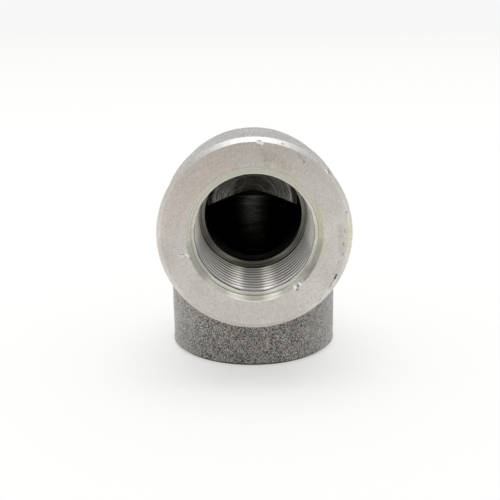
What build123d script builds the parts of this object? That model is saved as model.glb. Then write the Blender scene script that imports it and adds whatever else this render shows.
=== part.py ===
from build123d import *
from math import radians, tan
import os

# Forged ninety degree elbow for 3/4 inch tapered pipe thread, in millimetres.
# The origin is the middle of the lower port's face, +Z is up, and the other port faces -Y.

# Body as forged
centre_to_end = 33.0        # from the crossing of the two axes to each port's face
port_diameter = 38.0        # straight band round each port
band_length = 13.5
band_step = 0.4             # the bend is slimmer than the bands by this much on the radius
band_taper_length = 3.0
band_taper_sink = 0.2       # the taper ends this far under the surface of the bend
heel_radius = 33.8          # outer outline of the bend, seen from the side
crotch_radius = 6.0         # inner outline of the bend, between the two arms
parting_land = 0.2          # narrow flat left along the middle of each side of the bend

# Machined port
face_chamfer_radial = 0.9
face_chamfer_axial = 0.7
countersink_diameter = 26.7
countersink_depth = 1.6
thread_bore_diameter = 23.4  # tapping size for the 3/4-14 taper thread
thread_bore_depth = 18.4
shoulder_angle = 118.0       # step from the thread bore down to the waterway

# Waterway, drilled from both ports until the two holes meet
waterway_diameter = 20.4
drill_point_angle = 140.0
drill_overrun = 3.0          # the drill's tip stops this far past the crossing of the axes

port_radius = port_diameter / 2
body_radius = port_radius - band_step
thread_bore_radius = thread_bore_diameter / 2
waterway_radius = waterway_diameter / 2

crossing = (0, 0, centre_to_end)
arm_start = band_length / 4  # the bar of the bend begins inside each band
mitre = Plane(origin=crossing, z_dir=(0, 1, -1))


def drill_rise(radius, point_angle):
    """Axial length of a drill point of this radius."""
    return radius / tan(radians(point_angle / 2))


def bend():
    """The two arms as one L-shaped bar with a broad heel and a tight crotch, rounded along its length."""
    top = centre_to_end + body_radius
    under = centre_to_end - body_radius
    with BuildPart() as bar:
        with BuildSketch(Plane.YZ) as outline:
            with BuildLine():
                Polyline(
                    (-centre_to_end + arm_start, under),
                    (-body_radius, under),
                    (-body_radius, arm_start),
                    (body_radius, arm_start),
                    (body_radius, top),
                    (-centre_to_end + arm_start, top),
                    close=True,
                )
            make_face()
            crotch = outline.vertices().sort_by_distance((-body_radius, under))[0]
            fillet(crotch, crotch_radius)
            heel = outline.vertices().sort_by_distance((body_radius, top))[0]
            fillet(heel, heel_radius)
        extrude(amount=body_radius, both=True)
        flanks = bar.faces().filter_by(Axis.X)
        ends = bar.faces().sort_by(Axis.Y)[:1] + bar.faces().sort_by(Axis.Z)[:1]
        fillet(flanks.edges() - ends.edges(), body_radius - parting_land / 2)
    return bar.part


def port_band():
    """The straight band round the lower port, chamfered at its face and tapered into the bend."""
    taper_end = band_length + band_taper_length
    with BuildPart() as band:
        with BuildSketch(Plane.XZ):
            Polygon(
                (0, 0),
                (port_radius - face_chamfer_radial, 0),
                (port_radius, face_chamfer_axial),
                (port_radius, band_length),
                (body_radius - band_taper_sink, taper_end),
                (0, taper_end),
                align=None,
            )
        revolve(axis=Axis.Z)
    return band.part


def port_bore():
    """What the tools take out from the lower port: countersink, thread bore, shoulder, waterway, drill point."""
    shoulder = drill_rise(thread_bore_radius, shoulder_angle) - drill_rise(waterway_radius, shoulder_angle)
    tip = centre_to_end + drill_overrun
    with BuildPart() as bore:
        with BuildSketch(Plane.XZ):
            Polygon(
                (0, 0),
                (countersink_diameter / 2, 0),
                (thread_bore_radius, countersink_depth),
                (thread_bore_radius, thread_bore_depth),
                (waterway_radius, thread_bore_depth + shoulder),
                (waterway_radius, tip - drill_rise(waterway_radius, drill_point_angle)),
                (0, tip),
                align=None,
            )
        revolve(axis=Axis.Z)
    return bore.part


lower_band = port_band()
lower_bore = port_bore()
elbow_body = bend() + lower_band + lower_band.mirror(mitre)
elbow_body = elbow_body - lower_bore - lower_bore.mirror(mitre)

os.makedirs("parts", exist_ok=True)
export_step(elbow_body, "parts/elbow_body.step")
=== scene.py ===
from math import atan2, cos, hypot, pi, radians, sin, sqrt, tan

import bmesh
import bpy
from mathutils import Matrix, Vector, noise


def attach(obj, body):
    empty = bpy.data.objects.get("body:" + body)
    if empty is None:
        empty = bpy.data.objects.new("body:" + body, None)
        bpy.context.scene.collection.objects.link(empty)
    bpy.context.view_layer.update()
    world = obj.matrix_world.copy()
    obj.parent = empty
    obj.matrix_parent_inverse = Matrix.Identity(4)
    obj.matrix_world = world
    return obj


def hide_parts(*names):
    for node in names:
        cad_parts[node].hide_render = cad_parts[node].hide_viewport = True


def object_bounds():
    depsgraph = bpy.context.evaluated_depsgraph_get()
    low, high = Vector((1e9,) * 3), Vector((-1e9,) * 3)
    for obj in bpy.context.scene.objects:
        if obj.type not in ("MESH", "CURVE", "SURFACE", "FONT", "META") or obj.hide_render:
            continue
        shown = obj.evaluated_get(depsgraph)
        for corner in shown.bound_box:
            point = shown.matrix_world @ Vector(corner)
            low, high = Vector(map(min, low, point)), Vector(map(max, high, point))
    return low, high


# A forged ninety degree elbow with two tapered pipe threads. Meshes are made in millimetres and
# brought to metres at the end; the lower port stands on the floor and the other faces -Y.
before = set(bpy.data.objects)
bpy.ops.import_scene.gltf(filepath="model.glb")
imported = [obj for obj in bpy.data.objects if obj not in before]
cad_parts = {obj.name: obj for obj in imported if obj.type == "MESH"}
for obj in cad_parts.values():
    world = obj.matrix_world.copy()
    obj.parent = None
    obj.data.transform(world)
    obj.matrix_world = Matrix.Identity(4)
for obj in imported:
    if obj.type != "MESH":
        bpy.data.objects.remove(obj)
cadLow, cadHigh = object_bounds()
mm = 0.001
print("stage: frame loaded")

body = {
    "centreToEnd": -cadLow.y / mm,   # from the crossing of the axes to each port's face
    "bandRadius": cadHigh.x / mm,    # straight band round each port
    "bandLength": 13.5,
    "bandTaper": 3.0,
    "bendStep": 0.4,                 # the bend is slimmer than the bands
    "bandSink": 0.2,                 # the band's taper ends this far under the bend
    "heelTurn": 15.2,                # the outer half of the bend turns the corner at this radius
    "crotchTurn": 24.6,              # and the inner half at this one
    "columns": 240,
}
rows = {"face": 6, "band": 14, "taper": 4, "bend": 26, "waterway": 7, "drillPoint": 5}

port = {
    "chamferRadial": 0.9,
    "chamferAxial": 0.7,
    "countersinkRadius": 13.35,
    "countersinkDepth": 1.6,
    "crestRadius": 11.83,            # of the thread, at the port's face
    "threadHeight": 1.2,
    "pitch": 1.61,                   # as counted in the photograph
    "firstTurn": 0.73,               # shifts the turns along the bore
    "taper": 1 / 32,                 # fall of the radius along the thread
    "threadEnd": 17.3,
    "runOut": 1.2,                   # length over which the last turn fades away
    "startFade": 1.8,                # the first turn deepens over this length behind the countersink
    "reliefRadius": 11.5,
    "boreDepth": 18.4,
    "seat": [(10.95, 18.5), (10.4, 18.66), (10.25, 18.85), (10.2, 19.2)],   # radius and depth
}

waterway = {
    "radius": 10.2,
    "pointAngle": radians(140),
    "overrun": 3.0,                  # the drill's tip passes the crossing of the axes
    "tipRadius": 1.0,                # where the drill point may stop, beyond the mitre
}

steel = {"skin": 0, "face": 1, "thread": 2, "waterway": 3}   # material slots of the elbow
snap = 0.03                          # a vertex this near an end of the thread goes onto it


def blendTo(low, high, share):
    share = min(max(share, 0.0), 1.0)
    return low + (high - low) * share


def smoothShare(share):
    share = min(max(share, 0.0), 1.0)
    return share * share * (3 - 2 * share)


# Six points a turn: crest flat, flank, root flat, flank. The turns lie along the bore's wall.
def threadOutline(bm):
    flank = port["threadHeight"] * tan(radians(30))
    flat = (port["pitch"] - 2 * flank) / 2
    low = port["crestRadius"]
    middle = low + port["threadHeight"] / 2
    root = low + port["threadHeight"]
    turn = [
        (0, low),
        (flat, low),
        (flat + flank / 2, middle),
        (flat + flank, root),
        (2 * flat + flank, root),
        (2 * flat + 1.5 * flank, middle),
    ]
    turns = int(port["boreDepth"] / port["pitch"]) + 4
    last = None
    for count in range(turns):
        for rise, radius in turn:
            vert = bm.verts.new((radius, 0, (count - 2) * port["pitch"] + port["firstTurn"] + rise))
            if last:
                bm.edges.new((last, vert))
            last = vert


def coneRadius(depth):
    return blendTo(port["countersinkRadius"], port["crestRadius"] - 0.05, depth / port["countersinkDepth"])


# Wall radius of the bore for a thread vertex at this depth: countersink, taper, start and run-out.
def boreRadius(radius, depth):
    if depth < port["countersinkDepth"]:
        return coneRadius(depth)
    crest = port["crestRadius"] - port["taper"] * depth
    started = smoothShare((depth - port["countersinkDepth"]) / port["startFade"])
    radius = blendTo(crest, radius - port["taper"] * depth, started)
    fade = smoothShare((depth - port["threadEnd"] + port["runOut"]) / port["runOut"])
    return blendTo(radius, port["reliefRadius"], fade)


def cutThread(bm):
    threadOutline(bm)
    step = 2 * pi / body["columns"]
    bmesh.ops.spin(
        bm,
        geom=bm.verts[:] + bm.edges[:],
        cent=(0, 0, 0),
        axis=(0, 0, 1),
        dvec=(0, 0, port["pitch"] / body["columns"]),
        angle=2 * pi,
        steps=body["columns"],
        use_merge=False,
        use_duplicate=False,
    )
    bmesh.ops.remove_doubles(bm, verts=bm.verts, dist=0.01)
    nearFace = [
        e for e in bm.edges
        if -1 < (e.verts[0].co.z + e.verts[1].co.z) / 2 < port["countersinkDepth"] + 1
        and abs(hypot(*e.verts[0].co.xy) - hypot(*e.verts[1].co.xy)) > 0.01
    ]
    bmesh.ops.subdivide_edges(bm, edges=nearFace, cuts=2, use_grid_fill=True)
    for v in bm.verts:
        angle = round(atan2(v.co.y, v.co.x) / step) * step
        depth = v.co.z
        radius = boreRadius(hypot(v.co.x, v.co.y), depth)
        if depth < snap:
            radius, depth = port["countersinkRadius"], 0.0
        if depth > port["boreDepth"] - snap:
            radius, depth = port["reliefRadius"], port["boreDepth"]
        v.co = (radius * cos(angle), radius * sin(angle), depth)
    bmesh.ops.remove_doubles(bm, verts=bm.verts, dist=0.0005)
    bmesh.ops.dissolve_degenerate(bm, edges=bm.edges, dist=0.0005)
    for f in bm.faces:
        onCone = f.calc_center_median().z < port["countersinkDepth"] and isOnCone(f)
        f.material_index = steel["face"] if onCone else steel["thread"]


def isOnCone(face):
    return all(hypot(v.co.x, v.co.y) < coneRadius(v.co.z) + 0.005 for v in face.verts)


# Every column of the mesh keeps the angle round the port's axis that it starts with.
def nameColumns(bm):
    column = bm.verts.layers.float.new("columnAngle")
    for v in bm.verts:
        v[column] = atan2(v.co.y, v.co.x)


# Extrudes a ring of edges and puts each new vertex where place() says, from its column's angle.
def growRing(bm, ring, place, slot):
    column = bm.verts.layers.float["columnAngle"]
    grown = bmesh.ops.extrude_edge_only(bm, edges=ring)["geom"]
    verts = {v for v in grown if isinstance(v, bmesh.types.BMVert)}
    edges = [e for e in grown if isinstance(e, bmesh.types.BMEdge) and verts.issuperset(e.verts)]
    for v in verts:
        v.co = place(v[column])
    for e in edges:
        for f in e.link_faces:
            f.material_index = slot
    return edges


def endRing(bm, depth):
    return [e for e in bm.edges if e.is_boundary and all(abs(v.co.z - depth) < 1e-4 for v in e.verts)]


def circleAt(radius, depth):
    return lambda angle: (radius * cos(angle), radius * sin(angle), depth)


# A point of the forged skin: the column at this angle runs straight, then turns about its own
# centre until it meets the mitre. The band stands out round the port.
def skinPoint(angle, share, zone):
    bendRadius = body["bandRadius"] - body["bendStep"]
    heelward = bendRadius * sin(angle)
    turn = blendTo(body["crotchTurn"], body["heelTurn"], smoothShare((1 + sin(angle)) / 2))
    straight = body["centreToEnd"] - turn
    arc = turn + heelward
    whole = straight + arc * pi / 4
    start = port["chamferAxial"]
    bandEnd = min(body["bandLength"], 0.8 * whole)
    taperEnd = min(bandEnd + body["bandTaper"], bandEnd + 0.4 * (whole - bandEnd))
    spans = {"band": (start, bandEnd), "taper": (bandEnd, taperEnd), "bend": (taperEnd, whole)}
    along = blendTo(*spans[zone], share)
    x = bendRadius * cos(angle)
    y = heelward
    z = along
    if along > straight:
        lean = (along - straight) / arc
        y = arc * cos(lean) - turn
        z = straight + arc * sin(lean)
    if zone == "bend" and share > 0.999:
        return (x, y, z)
    if z > body["bandLength"] + body["bandTaper"]:
        return (x, y, z)
    slope = (body["bendStep"] + body["bandSink"]) / body["bandTaper"]
    band = body["bandRadius"] - slope * max(z - body["bandLength"], 0)
    push = max(band / hypot(x, y), 1.0)
    return (x * push, y * push, z)


def forgeSkin(bm):
    ring = endRing(bm, 0.0)
    faceEdge = body["bandRadius"] - port["chamferRadial"]
    for count in range(1, rows["face"] + 1):
        radius = blendTo(port["countersinkRadius"], faceEdge, count / rows["face"])
        ring = growRing(bm, ring, circleAt(radius, 0.0), steel["face"])
    ring = growRing(bm, ring, lambda angle: skinPoint(angle, 0.0, "band"), steel["face"])
    for zone in ("band", "taper", "bend"):
        for count in range(1, rows[zone] + 1):
            share = count / rows[zone]
            ring = growRing(bm, ring, lambda angle: skinPoint(angle, share, zone), steel["skin"])


# The waterway is drilled past the crossing and cut off at the mitre between the two arms.
def drillWaterway(bm):
    ring = endRing(bm, port["boreDepth"])
    shoulder = port["seat"][-1][1]
    tip = body["centreToEnd"] + waterway["overrun"]
    pointRise = 1 / tan(waterway["pointAngle"] / 2)
    wallEnd = tip - waterway["radius"] * pointRise
    before = set(bm.faces)
    for radius, depth in port["seat"]:
        ring = growRing(bm, ring, circleAt(radius, depth), steel["thread"])
    for count in range(1, rows["waterway"] + 1):
        depth = blendTo(shoulder, wallEnd, count / rows["waterway"])
        ring = growRing(bm, ring, circleAt(waterway["radius"], depth), steel["waterway"])
    for count in range(1, rows["drillPoint"] + 1):
        radius = blendTo(waterway["radius"], waterway["tipRadius"], count / rows["drillPoint"])
        ring = growRing(bm, ring, circleAt(radius, tip - radius * pointRise), steel["waterway"])
    hole = [f for f in bm.faces if f not in before]
    holeEdges = list({e for f in hole for e in f.edges})
    holeVerts = list({v for f in hole for v in f.verts})
    bmesh.ops.bisect_plane(
        bm,
        geom=hole + holeEdges + holeVerts,
        dist=1e-4,
        plane_co=(0, 0, body["centreToEnd"]),
        plane_no=(0, -1, 1),
        clear_outer=True,
    )


# The second arm is the first turned half round about the line that swaps the two axes.
def addSecondArm(bm):
    crossing = (0, 0, body["centreToEnd"])
    copied = bmesh.ops.duplicate(bm, geom=bm.verts[:] + bm.edges[:] + bm.faces[:])["geom"]
    verts = [v for v in copied if isinstance(v, bmesh.types.BMVert)]
    bmesh.ops.rotate(bm, verts=verts, cent=crossing, matrix=Matrix.Rotation(pi, 3, Vector((0, 1, 1))))
    bmesh.ops.remove_doubles(bm, verts=bm.verts, dist=0.002)


forging = {
    "lumpDepth": 0.16,               # hollows left by scale and blasting, all inwards
    "lumpSize": 5.0,
    "dimpleDepth": 0.05,
    "dimpleSize": 1.3,
}


def roughenSkin(bm):
    skin = [v for v in bm.verts if all(f.material_index == steel["skin"] for f in v.link_faces)]
    bm.normal_update()
    for v in skin:
        lump = 0.5 + 0.5 * noise.noise(v.co / forging["lumpSize"])
        dimple = 0.5 + 0.5 * noise.noise(v.co / forging["dimpleSize"])
        sink = forging["lumpDepth"] * min(max(lump, 0), 1) + forging["dimpleDepth"] * min(max(dimple, 0), 1)
        v.co -= v.normal * sink


# Dents on the front port, as places across and above its axis. They go into the face.
dents = [
    {"at": (8.25, -10.95), "radius": 0.4, "depth": 0.16},
    {"at": (8.5, -10.3), "radius": 0.32, "depth": 0.14},
    {"at": (1.0, 17.95), "radius": 0.5, "depth": 0.2},
    {"at": (15.85, -8.35), "radius": 0.4, "depth": 0.3},
    {"at": (15.0, -9.85), "radius": 0.3, "depth": 0.15},
    {"at": (-13.1, -3.75), "radius": 0.35, "depth": 0.15},
    {"at": (1.15, 18.75), "radius": 0.32, "depth": 0.2},
    {"at": (5.4, 17.8), "radius": 0.32, "depth": 0.2},
    {"at": (9.2, 14.4), "radius": 0.3, "depth": 0.08},
    {"at": (17.6, 4.3), "radius": 0.25, "depth": 0.1},
    {"at": (17.75, -2.2), "radius": 0.25, "depth": 0.1},
]


def denseNear(bm, centre, reach):
    near = {e for e in bm.edges if ((e.verts[0].co + e.verts[1].co) / 2 - centre).length < reach}
    bmesh.ops.subdivide_edges(bm, edges=list(near), cuts=2, use_grid_fill=True)


def dentFace(bm):
    for dent in dents:
        across, above = dent["at"]
        centre = Vector((across, -body["centreToEnd"], body["centreToEnd"] + above))
        denseNear(bm, centre, dent["radius"] + 0.5)
        for v in bm.verts:
            far = (v.co - centre).length / dent["radius"]
            if far < 1:
                v.co.y += dent["depth"] * (1 - far * far)


def makeElbow():
    bm = bmesh.new()
    cutThread(bm)
    nameColumns(bm)
    forgeSkin(bm)
    drillWaterway(bm)
    addSecondArm(bm)
    bmesh.ops.recalc_face_normals(bm, faces=bm.faces)
    roughenSkin(bm)
    dentFace(bm)
    for f in bm.faces:
        f.smooth = True
    for e in bm.edges:
        e.smooth = e.calc_face_angle(0) < radians(26)
    print("open edges", sum(not e.is_manifold for e in bm.edges), "faces", len(bm.faces))
    bmesh.ops.scale(bm, vec=(mm, mm, mm), verts=bm.verts)
    mesh = bpy.data.meshes.new("elbowVisual")
    bm.to_mesh(mesh)
    bm.free()
    piece = bpy.data.objects.new("elbowVisual", mesh)
    bpy.context.scene.collection.objects.link(piece)
    return piece


elbow = makeElbow()
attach(elbow, "root")
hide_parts("elbow_body")
print("stage: elbow made")


def addNode(tree, kind, inputs=None, **settings):
    made = tree.nodes.new(kind)
    for name, value in settings.items():
        setattr(made, name, value)
    for key, value in (inputs or {}).items():
        if isinstance(value, bpy.types.NodeSocket):
            tree.links.new(value, made.inputs[key])
        else:
            made.inputs[key].default_value = value
    return made


def calc(tree, operation, first, second=0.0, third=0.0):
    return addNode(tree, "ShaderNodeMath", {0: first, 1: second, 2: third}, operation=operation).outputs[0]


def spread(tree, value, fromLow, fromHigh, toLow, toHigh):
    ranges = {"Value": value, "From Min": fromLow, "From Max": fromHigh, "To Min": toLow, "To Max": toHigh}
    return addNode(tree, "ShaderNodeMapRange", ranges).outputs[0]


def blendColour(tree, share, first, second, kind="MIX"):
    made = addNode(tree, "ShaderNodeMix", data_type="RGBA", blend_type=kind)
    for slot, value in ((0, share), (6, first), (7, second)):
        if isinstance(value, bpy.types.NodeSocket):
            tree.links.new(value, made.inputs[slot])
        else:
            made.inputs[slot].default_value = value if slot == 0 else (*value, 1)
    return made.outputs[2]


def newGroup(name, inputs, outputs):
    tree = bpy.data.node_groups.new(name, "ShaderNodeTree")
    for label, kind, value in inputs:
        socket = tree.interface.new_socket(label, in_out="INPUT", socket_type="NodeSocket" + kind)
        socket.default_value = value
    for label, kind in outputs:
        tree.interface.new_socket(label, in_out="OUTPUT", socket_type="NodeSocket" + kind)
    return tree, tree.nodes.new("NodeGroupInput"), tree.nodes.new("NodeGroupOutput")


def useGroup(tree, group, **values):
    made = addNode(tree, "ShaderNodeGroup", node_tree=group)
    for label, value in values.items():
        if isinstance(value, bpy.types.NodeSocket):
            tree.links.new(value, made.inputs[label])
        else:
            made.inputs[label].default_value = value
    return made


# Where a point lies for the nearer port, in millimetres: distance from its axis, depth from its
# face, and a place that changes slowly round the axis.
def makePortFrame():
    tree, _, out = newGroup("portFrame", [], [("Place", "Vector"), ("Radius", "Float"), ("Depth", "Float"), ("Round", "Vector")])
    coordinates = addNode(tree, "ShaderNodeTexCoord")
    place = addNode(tree, "ShaderNodeVectorMath", {0: coordinates.outputs["Object"], "Scale": 1 / mm}, operation="SCALE").outputs[0]
    split = addNode(tree, "ShaderNodeSeparateXYZ", {0: place})
    x, y, z = split.outputs
    height = calc(tree, "SUBTRACT", z, body["centreToEnd"])
    front = calc(tree, "LESS_THAN", y, height)
    across = addNode(tree, "ShaderNodeMix", {0: front, 2: y, 3: height}).outputs[0]
    inward = calc(tree, "ADD", y, body["centreToEnd"])
    depth = addNode(tree, "ShaderNodeMix", {0: front, 2: z, 3: inward}).outputs[0]
    flat = addNode(tree, "ShaderNodeCombineXYZ", {0: x, 1: across}).outputs[0]
    radius = addNode(tree, "ShaderNodeVectorMath", {0: flat}, operation="LENGTH").outputs["Value"]
    turned = addNode(tree, "ShaderNodeVectorMath", {0: flat}, operation="NORMALIZE").outputs[0]
    for label, value in (("Place", place), ("Radius", radius), ("Depth", depth), ("Round", turned)):
        tree.links.new(value, out.inputs[label])
    return tree


# Lines that a cutting tool leaves round the axis, spaced along radius or depth.
def makeToolLines():
    tree, given, out = newGroup(
        "toolLines",
        [("Along", "Float", 0), ("Round", "Vector", (0, 0, 0)), ("Lines", "Float", 3), ("Wander", "Float", 1)],
        [("Height", "Float"), ("Tone", "Float")],
    )
    swept = addNode(tree, "ShaderNodeVectorMath", {0: given.outputs["Round"], "Scale": given.outputs["Wander"]}, operation="SCALE").outputs[0]
    level = calc(tree, "MULTIPLY", given.outputs["Along"], given.outputs["Lines"])
    lift = addNode(tree, "ShaderNodeCombineXYZ", {2: level}).outputs[0]
    place = addNode(tree, "ShaderNodeVectorMath", {0: swept, 1: lift}, operation="ADD").outputs[0]
    fine = addNode(tree, "ShaderNodeTexNoise", {"Vector": place, "Scale": 1.0, "Detail": 3.0, "Roughness": 0.65})
    broad = addNode(tree, "ShaderNodeTexNoise", {"Vector": place, "Scale": 0.23, "Detail": 1.0})
    tree.links.new(fine.outputs[0], out.inputs["Height"])
    tone = calc(tree, "MULTIPLY_ADD", fine.outputs[0], 0.6, calc(tree, "MULTIPLY", broad.outputs[0], 0.4))
    tree.links.new(tone, out.inputs["Tone"])
    return tree


# Pits and specks of shot blasting and scale.
def makeBlastGrain():
    tree, given, out = newGroup(
        "blastGrain",
        [("Place", "Vector", (0, 0, 0)), ("Size", "Float", 0.4)],
        [("Height", "Float"), ("Speck", "Float"), ("Cloud", "Float")],
    )
    perSize = calc(tree, "DIVIDE", 1.0, given.outputs["Size"])
    grain = addNode(tree, "ShaderNodeTexNoise", {"Vector": given.outputs["Place"], "Scale": perSize, "Detail": 3.0, "Roughness": 0.7})
    pits = addNode(tree, "ShaderNodeTexVoronoi", {"Vector": given.outputs["Place"], "Scale": calc(tree, "MULTIPLY", perSize, 0.8)}, feature="SMOOTH_F1")
    cloud = addNode(tree, "ShaderNodeTexNoise", {"Vector": given.outputs["Place"], "Scale": 0.16, "Detail": 3.0})
    mottle = addNode(tree, "ShaderNodeTexNoise", {"Vector": given.outputs["Place"], "Scale": 1.1, "Detail": 1.5})
    speck = calc(tree, "MULTIPLY_ADD", spread(tree, mottle.outputs[0], 0.3, 0.7, -0.5, 0.5), 0.05, grain.outputs[0])
    tree.links.new(calc(tree, "MULTIPLY_ADD", pits.outputs["Distance"], 0.5, grain.outputs[0]), out.inputs["Height"])
    tree.links.new(spread(tree, speck, 0.43, 0.6, 0, 1), out.inputs["Speck"])
    tree.links.new(cloud.outputs[0], out.inputs["Cloud"])
    return tree


# Nicks, scratches and stains on the front face, with painted glints and painted shade at the dents: how near a point
# is to a line between two places.
def nearLine(tree, flat, start, end, width):
    startPlace, run = Vector((*start, 0)), Vector((end[0] - start[0], end[1] - start[1], 0))
    fromStart = addNode(tree, "ShaderNodeVectorMath", {0: flat, 1: startPlace}, operation="SUBTRACT").outputs[0]
    share = addNode(tree, "ShaderNodeVectorMath", {0: fromStart, 1: run / max(run.length_squared, 1e-6)}, operation="DOT_PRODUCT").outputs["Value"]
    share = spread(tree, share, 0, 1, 0, 1)
    on = addNode(tree, "ShaderNodeVectorMath", {0: run, "Scale": share}, operation="SCALE").outputs[0]
    far = addNode(tree, "ShaderNodeVectorMath", {0: fromStart, 1: on}, operation="DISTANCE").outputs["Value"]
    return spread(tree, far, width, 0.3 * width, 0, 1)


# Start, end, width and strength of each mark, across and above the front port's axis.
marks = {
    # Dark: scratches and smudges, and painted shade in the dents and nicks
    "Dark": [
        ((14.59, -10.71), (15.6, -8.9), 0.13, 0.5),
        ((15.6, -8.85), (15.95, -8.15), 0.24, 1.0),
        ((8.15, -11.05), (8.35, -10.9), 0.24, 0.9),
        ((8.35, -10.4), (8.5, -10.15), 0.2, 1.0),
        ((17.7, 4.3), (17.7, 4.5), 0.22, 0.5),
        ((17.5, 0.4), (17.4, 1.0), 0.16, 0.4),
        ((17.25, -2.2), (17.2, -1.7), 0.18, 0.55),
        ((17.1, -4.1), (17.15, -3.8), 0.18, 0.5),
        ((16.4, -5.4), (16.2, -5.7), 0.16, 0.4),
        ((8.2, 15.6), (9.3, 14.6), 0.12, 0.3),
        ((9.4, 14.5), (9.5, 14.1), 0.18, 0.5),
        ((14.0, 12.5), (14.3, 11.9), 0.2, 0.6),
        ((-14.6, -3.5), (-13.9, -3.7), 0.12, 0.5),
        ((-12.7, -4.2), (-12.5, -4.5), 0.14, 0.5),
        ((-16.9, 5.2), (-16.8, 5.3), 0.16, 0.5),
        ((13.0, -13.0), (12.6, -13.3), 0.16, 0.5),
        ((5.3, 17.7), (5.7, 17.55), 0.16, 0.7),
        ((9.54, -9.24), (10.5, -8.2), 0.16, 0.45),
        ((8.7, -9.4), (9.1, -9.65), 0.12, 0.4),
        ((10.6, -7.65), (11.8, -5.97), 0.5, 0.2),
        ((9.87, -7.3), (10.2, -6.65), 0.35, 0.2),
    ],
    # Light: painted glints at the dents and beside scratches
    "Light": [
        ((7.8, -10.5), (7.98, -10.7), 0.46, 1.0),
        ((8.7, -9.8), (8.9, -9.9), 0.38, 1.0),
        ((0.7, 18.0), (1.6, 17.75), 0.3, 1.0),
        ((-14.7, -3.7), (-14.0, -3.9), 0.14, 0.7),
        ((-13.3, -3.6), (-12.8, -4.0), 0.24, 0.9),
        ((15.1, -10.2), (15.95, -8.9), 0.18, 0.5),
        ((13.5, 12.6), (14.0, 12.1), 0.2, 0.7),
    ],
    "Stain": [
        ((2.0, 15.6), (2.6, 13.9), 1.4, 0.95),
        ((4.2, 14.4), (6.2, 13.4), 1.4, 0.85),
        ((1.8, 16.0), (5.6, 13.8), 2.1, 0.9),
        ((-5.0, -15.6), (6.0, -15.2), 5.0, 0.25),
        ((16.8, -3.5), (16.6, 1.5), 1.0, 0.35),
    ],
    "Warm": [
        ((-12.5, 9.0), (-7.0, 14.0), 4.5, 0.8),
        ((-15.8, 2.5), (-13.0, 9.8), 3.5, 0.8),
        ((4.2, 14.6), (6.2, 13.2), 1.6, 0.7),
    ],
    "Oil": [
        ((18.6, 2.4), (18.7, -3.8), 1.1, 0.9),
        ((12.6, 4.6), (12.9, -3.5), 1.3, 0.8),
        ((3.5, 13.2), (8.2, 10.6), 1.2, 0.4),
        ((-8.0, 10.6), (3.5, 13.0), 1.2, 0.2),
    ],
}


def makeFaceMarks():
    tree, given, out = newGroup("faceMarks", [("Place", "Vector", (0, 0, 0))], [(label, "Float") for label in marks])
    split = addNode(tree, "ShaderNodeSeparateXYZ", {0: given.outputs["Place"]})
    above = calc(tree, "SUBTRACT", split.outputs[2], body["centreToEnd"])
    flat = addNode(tree, "ShaderNodeCombineXYZ", {0: split.outputs[0], 1: above}).outputs[0]
    wobble = addNode(tree, "ShaderNodeTexNoise", {"Vector": given.outputs["Place"], "Scale": 2.4, "Detail": 2.0})
    shifted = addNode(tree, "ShaderNodeVectorMath", {0: wobble.outputs[1], 1: (0.5, 0.5, 0.5)}, operation="SUBTRACT").outputs[0]
    flat = addNode(tree, "ShaderNodeVectorMath", {0: shifted, 1: (0.35, 0.35, 0), 2: flat}, operation="MULTIPLY_ADD").outputs[0]
    atFront = calc(tree, "LESS_THAN", split.outputs[1], 1.6 - body["centreToEnd"])
    for label, lines in marks.items():
        total = 0.0
        for start, end, width, strength in lines:
            near = calc(tree, "MULTIPLY", nearLine(tree, flat, start, end, width), strength)
            total = calc(tree, "MAXIMUM", total, near)
        tree.links.new(calc(tree, "MULTIPLY", total, atFront), out.inputs[label])
    return tree


portFrame = makePortFrame()
toolLines = makeToolLines()
blastGrain = makeBlastGrain()
faceMarks = makeFaceMarks()


def startSteel(name, roughness, sheen=0.0):
    material = bpy.data.materials.new(name)
    material.use_nodes = True
    shader = material.node_tree.nodes["Principled BSDF"]
    shader.inputs["Metallic"].default_value = 1.0
    shader.inputs["Roughness"].default_value = roughness
    shader.inputs["Sheen Weight"].default_value = sheen
    shader.inputs["Sheen Roughness"].default_value = 0.4
    elbow.data.materials.append(material)
    return material.node_tree, shader


def addBump(tree, shader, height, depth):
    bump = addNode(tree, "ShaderNodeBump", {"Height": height, "Strength": 1.0, "Distance": depth * mm})
    tree.links.new(bump.outputs[0], shader.inputs["Normal"])


def shaded(tree, colour, level):
    grey = addNode(tree, "ShaderNodeCombineColor", {0: level, 1: level, 2: level}).outputs[0]
    return blendColour(tree, 1.0, grey, colour, "MULTIPLY")


# The level, times a factor where the mask is one.
def scaledBy(tree, level, mask, factor):
    return calc(tree, "MULTIPLY", level, spread(tree, mask, 0, 1, 1, factor))


# One on a ring between two radii, for this many degrees to each side of the middle.
def arcMask(tree, here, middle, half, inner, outer, soft):
    toward = {0: here.outputs["Round"], 1: (cos(radians(middle)), sin(radians(middle)), 0)}
    toward = addNode(tree, "ShaderNodeVectorMath", toward, operation="DOT_PRODUCT").outputs["Value"]
    inArc = spread(tree, toward, cos(radians(half + 8)), cos(radians(half)), 0, 1)
    radius = here.outputs["Radius"]
    rising = spread(tree, radius, inner - soft, inner, 0, 1)
    falling = spread(tree, radius, outer, outer + soft, 1, 0)
    return calc(tree, "MULTIPLY", inArc, calc(tree, "MULTIPLY", rising, falling))


blasted = {"dark": (0.06, 0.056, 0.05), "light": (0.77, 0.735, 0.685), "grain": 0.245, "bump": 0.15, "roughness": 0.55, "sheen": 0.8}


def blastedForging():
    tree, shader = startSteel("blastedForging", blasted["roughness"], blasted["sheen"])
    here = useGroup(tree, portFrame)
    grain = useGroup(tree, blastGrain, Place=here.outputs["Place"], Size=blasted["grain"])
    speck = calc(tree, "MULTIPLY", grain.outputs["Speck"], spread(tree, grain.outputs["Cloud"], 0.3, 0.7, 0.75, 1.0))
    tree.links.new(blendColour(tree, speck, blasted["dark"], blasted["light"]), shader.inputs["Base Color"])
    addBump(tree, shader, grain.outputs["Height"], blasted["bump"])


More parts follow.
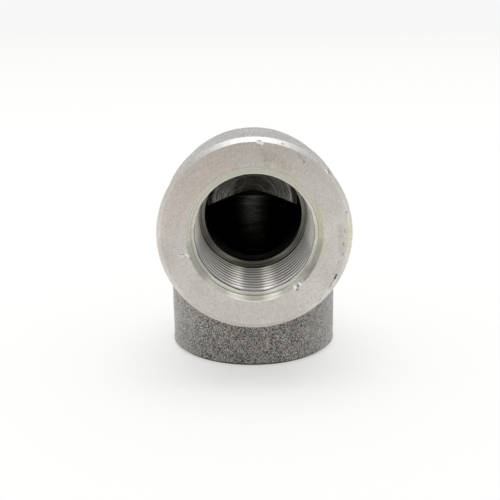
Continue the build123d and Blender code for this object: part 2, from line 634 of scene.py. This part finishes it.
turned = {
    "colour": (0.705, 0.68, 0.645),
    "stain": (0.47, 0.43, 0.39),
    "warm": (0.58, 0.48, 0.42),
    "oil": (0.66, 0.68, 0.42),
    "rim": (0.66, 0.65, 0.635),      # the top of the chamfer is the brightest
    "paintedGlint": (0.98, 0.98, 0.96),
    "countersink": (0.76, 0.745, 0.65),
    "coneArcs": [                    # middle and half angle, radii, softness and level
        (-22, 12, 12.6, 13.4, 0.15, 0.74),
        (204, 12, 12.6, 13.4, 0.15, 0.8),
        (-60, 10, 11.9, 13.4, 0.15, 1.3),
        (238, 10, 11.9, 13.4, 0.15, 1.4),
        (142, 16, 12.1, 13.3, 0.15, 1.05),
        (204, 14, 11.9, 12.5, 0.15, 0.84),
        (-25, 12, 11.9, 12.5, 0.15, 0.88),
        (262.5, 33, 12.37, 12.43, 0.07, 0.35),
        (200, 20, 12.33, 12.37, 0.06, 0.7),
        (0, 25, 12.43, 12.47, 0.06, 0.75),
        (0, 28, 11.8, 12.3, 0.08, 1.16),
        # painted reflections of the lamps: two bright streaks at the bottom and a darker gap between them
        (253.6, 2, 12.45, 13.4, 0.1, 1.3),
        (285.5, 2, 12.45, 13.4, 0.1, 1.3),
        (269.5, 4, 12.45, 13.4, 0.1, 0.78),
        (269.5, 5, 11.7, 12.35, 0.06, 0.72),
        (172, 20, 11.7, 11.95, 0.08, 1.2),
    ],
    "roughness": 0.4,
    "coneRoughness": 0.32,
    "lines": 7.0,
    "bump": 0.004,
}


def turnedFace():
    tree, shader = startSteel("turnedFace", turned["roughness"])
    here = useGroup(tree, portFrame)
    place, radius, depth = here.outputs["Place"], here.outputs["Radius"], here.outputs["Depth"]
    lines = useGroup(tree, toolLines, Along=radius, Round=here.outputs["Round"], Lines=turned["lines"], Wander=16.0)
    fine = addNode(tree, "ShaderNodeTexNoise", {"Vector": place, "Scale": 3.2, "Detail": 3.0, "Roughness": 0.8})
    cloud = addNode(tree, "ShaderNodeTexNoise", {"Vector": place, "Scale": 0.14, "Detail": 3.0})
    worked = useGroup(tree, faceMarks, Place=place)
    height = addNode(tree, "ShaderNodeSeparateXYZ", {0: place}).outputs[2]
    roundUp = addNode(tree, "ShaderNodeSeparateXYZ", {0: here.outputs["Round"]}).outputs[1]
    inCone = spread(tree, depth, 0.02, 0.1, 0, 1)
    inCone = calc(tree, "MULTIPLY", inCone, calc(tree, "LESS_THAN", radius, port["countersinkRadius"] + 0.2))
    onRim = calc(tree, "MULTIPLY", calc(tree, "GREATER_THAN", radius, 18.12), calc(tree, "GREATER_THAN", height, 2.0))

    # Dull patches with faint upright streaks, and a darker upper half
    along = addNode(tree, "ShaderNodeVectorMath", {0: place, 1: (3.4, 3.4, 0.4)}, operation="MULTIPLY").outputs[0]
    streaks = addNode(tree, "ShaderNodeTexNoise", {"Vector": along, "Scale": 1.0, "Detail": 2.0})
    patch = calc(tree, "MULTIPLY", worked.outputs["Stain"], spread(tree, streaks.outputs[0], 0.35, 0.65, 0.6, 1.15))
    upper = spread(tree, height, body["centreToEnd"] + 4, body["centreToEnd"] + 17, 0, 0.7)
    clouded = spread(tree, cloud.outputs[0], 0.45, 0.75, 0, 0.45)
    worn = calc(tree, "MAXIMUM", calc(tree, "MAXIMUM", upper, clouded), patch)
    colour = blendColour(tree, worn, turned["colour"], turned["stain"])
    rimTop = calc(tree, "MULTIPLY", onRim, spread(tree, roundUp, 0.5, 0.95, 0, 1))
    colour = blendColour(tree, calc(tree, "MULTIPLY", worked.outputs["Warm"], 0.55), colour, turned["warm"])
    colour = blendColour(tree, rimTop, colour, turned["rim"])
    colour = blendColour(tree, inCone, colour, turned["countersink"])
    colour = blendColour(tree, calc(tree, "MULTIPLY", worked.outputs["Oil"], 0.45), colour, turned["oil"])
    # Painted glints: the light marks turn near white
    colour = blendColour(tree, worked.outputs["Light"], colour, turned["paintedGlint"])

    tone = spread(tree, lines.outputs["Tone"], 0.35, 0.65, -0.05, 0.05)
    level = calc(tree, "ADD", tone, spread(tree, fine.outputs[0], 0.35, 0.65, 0.85, 1.13))
    # Dark marks: scratches and smudges, partly painted shade in the dents
    level = scaledBy(tree, level, worked.outputs["Dark"], 0.12)
    # Painted highlight: the chamfer is lighter round its sides and bottom
    level = scaledBy(tree, level, calc(tree, "SUBTRACT", onRim, rimTop), 1.15)
    # Painted light and shade on the countersink: darker at its bottom and lighter at its top, with faint turning
    # rings
    paintedConeShade = spread(tree, roundUp, -1, 1, 0.5, 1.42)
    ringsAndShade = calc(tree, "SINE", calc(tree, "MULTIPLY", radius, 12.0))
    ringsAndShade = calc(tree, "MULTIPLY_ADD", ringsAndShade, spread(tree, roundUp, 0.0, 0.4, 0.03, 0.17), paintedConeShade)
    level = calc(tree, "MULTIPLY", level, addNode(tree, "ShaderNodeMix", {0: inCone, 2: 1.0, 3: ringsAndShade}).outputs[0])
    # Arcs on the countersink: smudges and score lines, and painted reflections at its bottom
    for middle, half, inner, outer, soft, factor in turned["coneArcs"]:
        arc = arcMask(tree, here, middle, half, inner, outer, soft)
        level = scaledBy(tree, level, calc(tree, "MULTIPLY", arc, inCone), factor)
    # Painted highlight along the countersink's inner edge
    edge = spread(tree, radius, port["crestRadius"] + 0.1, port["crestRadius"] + 0.35, 1, 0)
    level = scaledBy(tree, level, calc(tree, "MULTIPLY", edge, inCone), 1.35)
    # Painted shade: the lower port's chamfer, where it stands on the floor, is darkened
    contactShade = calc(tree, "MULTIPLY", calc(tree, "LESS_THAN", height, 0.8), calc(tree, "GREATER_THAN", radius, 18.0))
    level = scaledBy(tree, level, contactShade, 0.35)
    # Painted glints keep their full level
    level = addNode(tree, "ShaderNodeMix", {0: worked.outputs["Light"], 2: level, 3: 1.0}).outputs[0]
    tree.links.new(shaded(tree, colour, level), shader.inputs["Base Color"])

    # Painted glints are less metallic, so that they show white
    metal = scaledBy(tree, spread(tree, inCone, 0, 1, 1, 0.45), worked.outputs["Light"], 0.2)
    tree.links.new(metal, shader.inputs["Metallic"])
    rough = spread(tree, fine.outputs[0], 0.3, 0.7, turned["roughness"] - 0.05, turned["roughness"] + 0.05)
    rough = addNode(tree, "ShaderNodeMix", {0: inCone, 2: rough, 3: turned["coneRoughness"]}).outputs[0]
    tree.links.new(rough, shader.inputs["Roughness"])
    addBump(tree, shader, lines.outputs["Height"], turned["bump"])


threaded = {
    "colour": (0.76, 0.725, 0.695),
    "deepShade": (0.36, 0.35, 0.31),
    # painted shade in the thread's roots
    "groove": 0.5,                  # the roots of the thread are this much darker
    # painted shade: the seat deep in the bore is near black
    "seat": (0.11, 0.107, 0.09),
    "sideMetal": 0.35,
    # painted shadow: the seat line is a dark ring in the step of the seat
    "seatLine": 11.15,               # a dark line round the middle of the seat
    "roughness": 0.16,
    "lines": 9.0,
    "bump": 0.006,
}


def cutThreadSteel():
    tree, shader = startSteel("cutThread", threaded["roughness"])
    here = useGroup(tree, portFrame)
    depth, radius = here.outputs["Depth"], here.outputs["Radius"]
    lines = useGroup(tree, toolLines, Along=depth, Round=here.outputs["Round"], Lines=threaded["lines"], Wander=8.0)
    # Painted shade: the thread darkens deeper in the bore
    colour = blendColour(tree, spread(tree, depth, 2.5, 15.0, 0, 1), threaded["colour"], threaded["deepShade"])
    crest = calc(tree, "SUBTRACT", port["crestRadius"], calc(tree, "MULTIPLY", depth, port["taper"]))
    groove = calc(tree, "SUBTRACT", radius, crest)
    acrossIt, roundUp, _ = addNode(tree, "ShaderNodeSeparateXYZ", {0: here.outputs["Round"]}).outputs
    aside = calc(tree, "ABSOLUTE", acrossIt)
    # Painted highlights on the crests and painted shade in the roots, both stronger between the bottom and the sides
    paintedContrast = calc(tree, "MULTIPLY", spread(tree, aside, 0.35, 0.5, 0, 1), spread(tree, aside, 0.75, 0.9, 1, 0))
    rootLevel = spread(tree, depth, 2.0, 4.5, 0.8, spread(tree, paintedContrast, 0, 1, threaded["groove"], 0.28))
    level = spread(tree, groove, 0.14, 0.32, spread(tree, paintedContrast, 0, 1, 1.0, 1.25), rootLevel)
    # Painted shade: the first turn behind the countersink is dimmed under the lamp
    level = calc(tree, "MULTIPLY", level, spread(tree, depth, 2.0, 3.0, 0.8, 1.0))
    past = calc(tree, "GREATER_THAN", depth, port["boreDepth"] - 0.02)
    # Painted light and shade on the seat: lighter towards its top, with a painted shadow round its middle
    seatLevel = spread(tree, roundUp, -0.45, 0.3, 0.95, 2.1)
    fromLine = calc(tree, "ABSOLUTE", calc(tree, "SUBTRACT", radius, threaded["seatLine"]))
    seatLevel = calc(tree, "MULTIPLY", seatLevel, spread(tree, fromLine, 0.04, 0.12, 0.35, 1.0))
    colour = blendColour(tree, past, colour, threaded["seat"])
    level = addNode(tree, "ShaderNodeMix", {0: past, 2: level, 3: seatLevel}).outputs[0]
    level = calc(tree, "MULTIPLY", level, spread(tree, lines.outputs["Tone"], 0.35, 0.65, 0.85, 1.12))
    # The first turns are duller to the sides and take painted shade there; all turns take painted shade towards the
    # sides
    atSide = calc(tree, "MULTIPLY", spread(tree, depth, 3.0, 5.0, 1, 0), spread(tree, roundUp, -0.85, -0.6, 0, 1))
    level = scaledBy(tree, level, atSide, 0.85)
    level = calc(tree, "MULTIPLY", level, spread(tree, aside, 0.55, 0.95, 1.0, 0.78))
    tree.links.new(shaded(tree, colour, level), shader.inputs["Base Color"])
    tree.links.new(spread(tree, atSide, 0, 1, 1, threaded["sideMetal"]), shader.inputs["Metallic"])
    addBump(tree, shader, lines.outputs["Height"], threaded["bump"])


# painted shade: the drilled wall is near black
drilled = {"colour": (0.09, 0.09, 0.08), "point": (0.6, 0.59, 0.54), "lines": 4.2, "bump": 0.04, "roughness": 0.27}


def drilledWall():
    tree, shader = startSteel("drilledWall", drilled["roughness"])
    here = useGroup(tree, portFrame)
    depth, radius = here.outputs["Depth"], here.outputs["Radius"]
    wallEnd = body["centreToEnd"] + waterway["overrun"] - waterway["radius"] / tan(waterway["pointAngle"] / 2)
    onPoint = spread(tree, depth, wallEnd - 0.05, wallEnd + 0.05, 0, 1)
    along = addNode(tree, "ShaderNodeMix", {0: onPoint, 2: depth, 3: radius}).outputs[0]
    lines = useGroup(tree, toolLines, Along=along, Round=here.outputs["Round"], Lines=drilled["lines"], Wander=2.0)
    # Painted shade: the drilled wall is near black and dimmed further; the point is light
    colour = blendColour(tree, onPoint, drilled["colour"], drilled["point"])
    level = spread(tree, lines.outputs["Tone"], 0.35, 0.65, 0.2, 1.75)
    # The point darkens outwards, and its outermost ring by the wall is nearly black: painted shade in the corner
    pointLevel = calc(tree, "MULTIPLY", spread(tree, radius, 6.0, 8.5, 1.05, 0.72), spread(tree, radius, 9.0, 9.4, 1.0, 0.15))
    level = calc(tree, "MULTIPLY", level, addNode(tree, "ShaderNodeMix", {0: onPoint, 2: 0.75, 3: pointLevel}).outputs[0])
    tree.links.new(shaded(tree, colour, level), shader.inputs["Base Color"])
    addBump(tree, shader, lines.outputs["Height"], drilled["bump"])


blastedForging()
turnedFace()
cutThreadSteel()
drilledWall()
print("stage: materials")

view = {
    "lens": 60.51,
    "azimuth": radians(-0.432),
    "elevation": radians(14.987),
    "roll": radians(-0.632),
    "distance": 193.77,              # along the line of sight, to the crossing of the axes
    "right": 0.539,                  # how far the crossing lies right of and above the middle
    "above": 11.281,
}


def addCamera():
    data = bpy.data.cameras.new("photoCamera")
    data.lens = view["lens"]
    data.sensor_width = 36
    data.clip_start = 0.01
    data.clip_end = 50
    camera = bpy.data.objects.new("photoCamera", data)
    turn = (
        Matrix.Rotation(view["azimuth"], 4, "Z")
        @ Matrix.Rotation(pi / 2 - view["elevation"], 4, "X")
        @ Matrix.Rotation(view["roll"], 4, "Z")
    )
    offset = turn @ Vector((-view["right"], -view["above"], view["distance"]))
    place = (Vector((0, 0, body["centreToEnd"])) + offset) * mm
    camera.matrix_world = Matrix.Translation(place) @ turn
    bpy.context.scene.collection.objects.link(camera)
    bpy.context.scene.camera = camera


addCamera()

studio = {
    "lampToward": (0, -0.12, 1),
    "lampWidth": radians(50),        # a broad soft light from above
    "lampPower": 0.75,
    "fill": 0.75,
    "backdrop": 0.93,
    "frontGloss": 0.45,              # the metal mirrors a darker room in front than behind,
    "backGloss": 1.3,
    "gap": 0.175,                    # and two bright panels in front with a dark gap between
    "gapDark": -0.02,
    "panelGlow": 1.0,
    "floorRadius": 6.0,
    "floorColour": (1.0, 0.996, 0.98),
    "floorAlbedo": 0.86,
    "floorShade": 0.56,             # share of the seen floor that takes light and shadow
    "floorGlow": 0.465,
}


def addLamp():
    data = bpy.data.lights.new("overheadLight", "SUN")
    data.angle = studio["lampWidth"]
    data.energy = studio["lampPower"]
    toward = Vector(studio["lampToward"]).normalized()
    lamp = bpy.data.objects.new("overheadLight", data)
    lamp.matrix_world = Matrix.Translation(toward * 0.5) @ toward.to_track_quat("Z", "Y").to_matrix().to_4x4()
    bpy.context.scene.collection.objects.link(lamp)


def setWorld():
    world = bpy.data.worlds.new("paleRoom")
    world.use_nodes = True
    bpy.context.scene.world = world
    tree = world.node_tree
    rays = addNode(tree, "ShaderNodeLightPath")
    toward = addNode(tree, "ShaderNodeSeparateXYZ", {0: addNode(tree, "ShaderNodeTexCoord").outputs["Object"]})
    behind = spread(tree, toward.outputs[1], -0.8, 0.8, studio["frontGloss"], studio["backGloss"])
    across = calc(tree, "ABSOLUTE", toward.outputs[0])
    panel = spread(tree, across, studio["gap"] - 0.03, studio["gap"] + 0.03, studio["gapDark"], studio["panelGlow"])
    panel = calc(tree, "MULTIPLY", panel, spread(tree, across, 0.22, 0.37, 1, 0))
    panel = calc(tree, "MULTIPLY", panel, spread(tree, toward.outputs[1], 0, -0.25, 0, 1))
    behind = calc(tree, "ADD", behind, panel)
    mirrored = spread(tree, rays.outputs["Is Glossy Ray"], 0, 1, studio["fill"], behind)
    level = spread(tree, rays.outputs["Is Camera Ray"], 0, 1, mirrored, studio["backdrop"])
    tree.links.new(level, tree.nodes["Background"].inputs["Strength"])
    tree.nodes["Background"].inputs["Color"].default_value = (1, 1, 1, 1)


def addFloor():
    bm = bmesh.new()
    bmesh.ops.create_circle(bm, cap_ends=True, radius=studio["floorRadius"], segments=96)
    mesh = bpy.data.meshes.new("floor")
    bm.to_mesh(mesh)
    bm.free()
    floor = bpy.data.objects.new("floor", mesh)
    bpy.context.scene.collection.objects.link(floor)
    material = bpy.data.materials.new("paleFloor")
    material.use_nodes = True
    tree = material.node_tree
    shader = tree.nodes["Principled BSDF"]
    shader.inputs["Roughness"].default_value = 1.0
    shader.inputs["Specular IOR Level"].default_value = 0.0
    shader.inputs["Emission Color"].default_value = (1, 1, 1, 1)
    seen = addNode(tree, "ShaderNodeLightPath").outputs["Is Camera Ray"]
    albedo = spread(tree, seen, 0, 1, studio["floorAlbedo"], studio["floorShade"])
    tree.links.new(shaded(tree, studio["floorColour"], albedo), shader.inputs["Base Color"])
    away = addNode(tree, "ShaderNodeVectorMath", {0: addNode(tree, "ShaderNodeTexCoord").outputs["Object"]}, operation="LENGTH").outputs["Value"]
    # Painted shade: the glow of the seen floor fades with distance
    dim = spread(tree, calc(tree, "DIVIDE", away, calc(tree, "ADD", away, 1.0)), 0.23, 0.8, 0, 0.07)
    glow = calc(tree, "MULTIPLY", seen, calc(tree, "SUBTRACT", studio["floorGlow"], dim))
    tree.links.new(glow, shader.inputs["Emission Strength"])
    mesh.materials.append(material)


addLamp()
setWorld()
addFloor()
bpy.context.scene.view_settings.view_transform = "Standard"
print("stage: studio")
